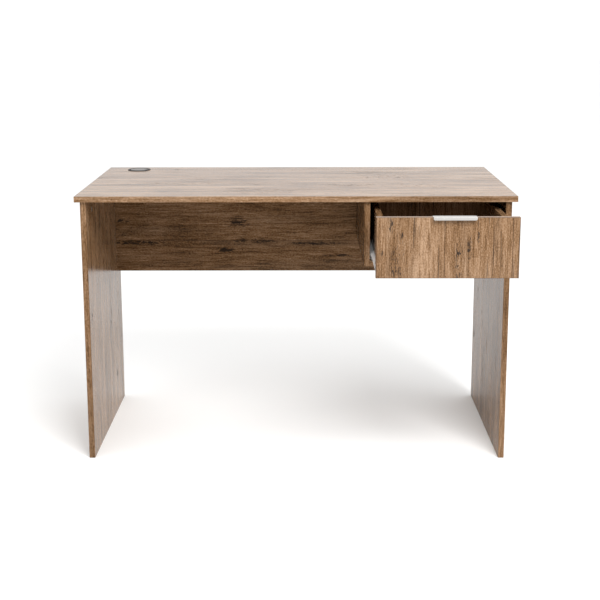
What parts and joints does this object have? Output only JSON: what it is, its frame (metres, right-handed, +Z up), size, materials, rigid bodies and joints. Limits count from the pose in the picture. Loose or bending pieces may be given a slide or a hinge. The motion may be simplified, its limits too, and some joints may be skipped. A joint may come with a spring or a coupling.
{
  "type": "writing desk",
  "caption": "Straight flat-pack writing desk with panel legs, a modesty panel, an inset drawer on roller slides and a cable grommet.",
  "frame": {"origin": "on the floor, in the middle of the overall width and of the overall depth with the drawer standing open 222 mm, its rest pose", "axes": "+X along the desk's width, to the right of the person sitting at it; +Y towards the back (the drawer opens towards -Y); +Z up"},
  "size_m": [1.2, 0.822, 0.752],
  "materials": {
    "oak_board": "weathered oak laminate, low sheen",
    "edge_band": "oak-print edge band, low sheen",
    "hardboard": "thin board with an oak print",
    "beech": "bare fluted beech",
    "zinc_steel": "zinc plated",
    "white_rail": "white epoxy powder coat",
    "roller_nylon": "white nylon",
    "white_pull": "warm white satin coat",
    "grommet_ring": "dark grey moulded plastic",
    "grommet_lid": "grey moulded plastic with a soft gloss"
  },
  "bodies": {
    "desk": {"bay_floor": "oak_board", "bay_floor_cams": "zinc_steel", "bay_floor_front_band": "edge_band", "cabinet_rail_screws": "zinc_steel", "cabinet_roller_axles": "zinc_steel", "carcass_cam_bolts": "zinc_steel", "carcass_confirmat_screws": "zinc_steel", "carcass_dowels": "beech", "desk_top": "oak_board", "divider_bottom_band": "edge_band", "divider_cams": "zinc_steel", "divider_front_band": "edge_band", "drawer_divider": "oak_board", "grommet_liner": "grommet_ring", "left_cabinet_rail": "white_rail", "left_panel_back_band": "edge_band", "left_panel_front_band": "edge_band", "left_side_panel": "oak_board", "modesty_bottom_band": "edge_band", "modesty_cams": "zinc_steel", "modesty_panel": "oak_board", "right_cabinet_rail": "white_rail", "right_panel_back_band": "edge_band", "right_panel_front_band": "edge_band", "right_side_panel": "oak_board", "side_panel_cams": "zinc_steel", "top_back_band": "edge_band", "top_front_band": "edge_band", "top_left_band": "edge_band", "top_right_band": "edge_band"},
    "drawer": {"drawer_back": "oak_board", "drawer_back_band": "edge_band", "drawer_bottom": "hardboard", "drawer_cam_bolts": "zinc_steel", "drawer_cams": "zinc_steel", "drawer_confirmat_screws": "zinc_steel", "drawer_dowels": "beech", "drawer_front": "oak_board", "drawer_front_bottom_band": "edge_band", "drawer_front_left_band": "edge_band", "drawer_front_right_band": "edge_band", "drawer_front_top_band": "edge_band", "drawer_left_side": "oak_board", "drawer_left_side_band": "edge_band", "drawer_rail_screws": "zinc_steel", "drawer_right_side": "oak_board", "drawer_right_side_band": "edge_band", "drawer_roller_axles": "zinc_steel", "edge_pull": "white_pull", "left_drawer_rail": "white_rail", "pull_screws": "zinc_steel", "right_drawer_rail": "white_rail"},
    "left_cabinet_roller": {"left_cabinet_roller": "roller_nylon"},
    "right_cabinet_roller": {"right_cabinet_roller": "roller_nylon"},
    "left_drawer_roller": {"left_drawer_roller": "roller_nylon"},
    "right_drawer_roller": {"right_drawer_roller": "roller_nylon"},
    "grommet_cap": {"grommet_cap": "grommet_lid"}
  },
  "joints": [
    {"name": "drawer_slide", "type": "slide", "parent": "desk", "child": "drawer", "axis": [0, -1, 0], "range_m": [-0.222, 0.078]},
    {"name": "left_cabinet_roller_spin", "type": "hinge", "parent": "desk", "child": "left_cabinet_roller", "pos_m": [0.2082, -0.147, 0.5822], "axis": [1, 0, 0], "range_deg": [-1710, 605]},
    {"name": "right_cabinet_roller_spin", "type": "hinge", "parent": "desk", "child": "right_cabinet_roller", "pos_m": [0.5638, -0.147, 0.5822], "axis": [1, 0, 0], "range_deg": [-1710, 605]},
    {"name": "left_drawer_roller_spin", "type": "hinge", "parent": "drawer", "child": "left_drawer_roller", "pos_m": [0.2082, 0.001, 0.58], "axis": [1, 0, 0], "range_deg": [-1710, 605]},
    {"name": "right_drawer_roller_spin", "type": "hinge", "parent": "drawer", "child": "right_drawer_roller", "pos_m": [0.5638, 0.001, 0.58], "axis": [1, 0, 0], "range_deg": [-1710, 605]},
    {"name": "grommet_cap_turn", "type": "hinge", "parent": "desk", "child": "grommet_cap", "pos_m": [-0.5, 0.351, 0.75], "axis": [0, 0, 1], "continuous": true}
  ],
  "couplings": [
    {"joint": "left_cabinet_roller_spin", "follows": "drawer_slide", "rad_per_m": 133.33},
    {"joint": "right_cabinet_roller_spin", "follows": "drawer_slide", "rad_per_m": 133.33},
    {"joint": "left_drawer_roller_spin", "follows": "drawer_slide", "rad_per_m": 133.33},
    {"joint": "right_drawer_roller_spin", "follows": "drawer_slide", "rad_per_m": 133.33}
  ]
}
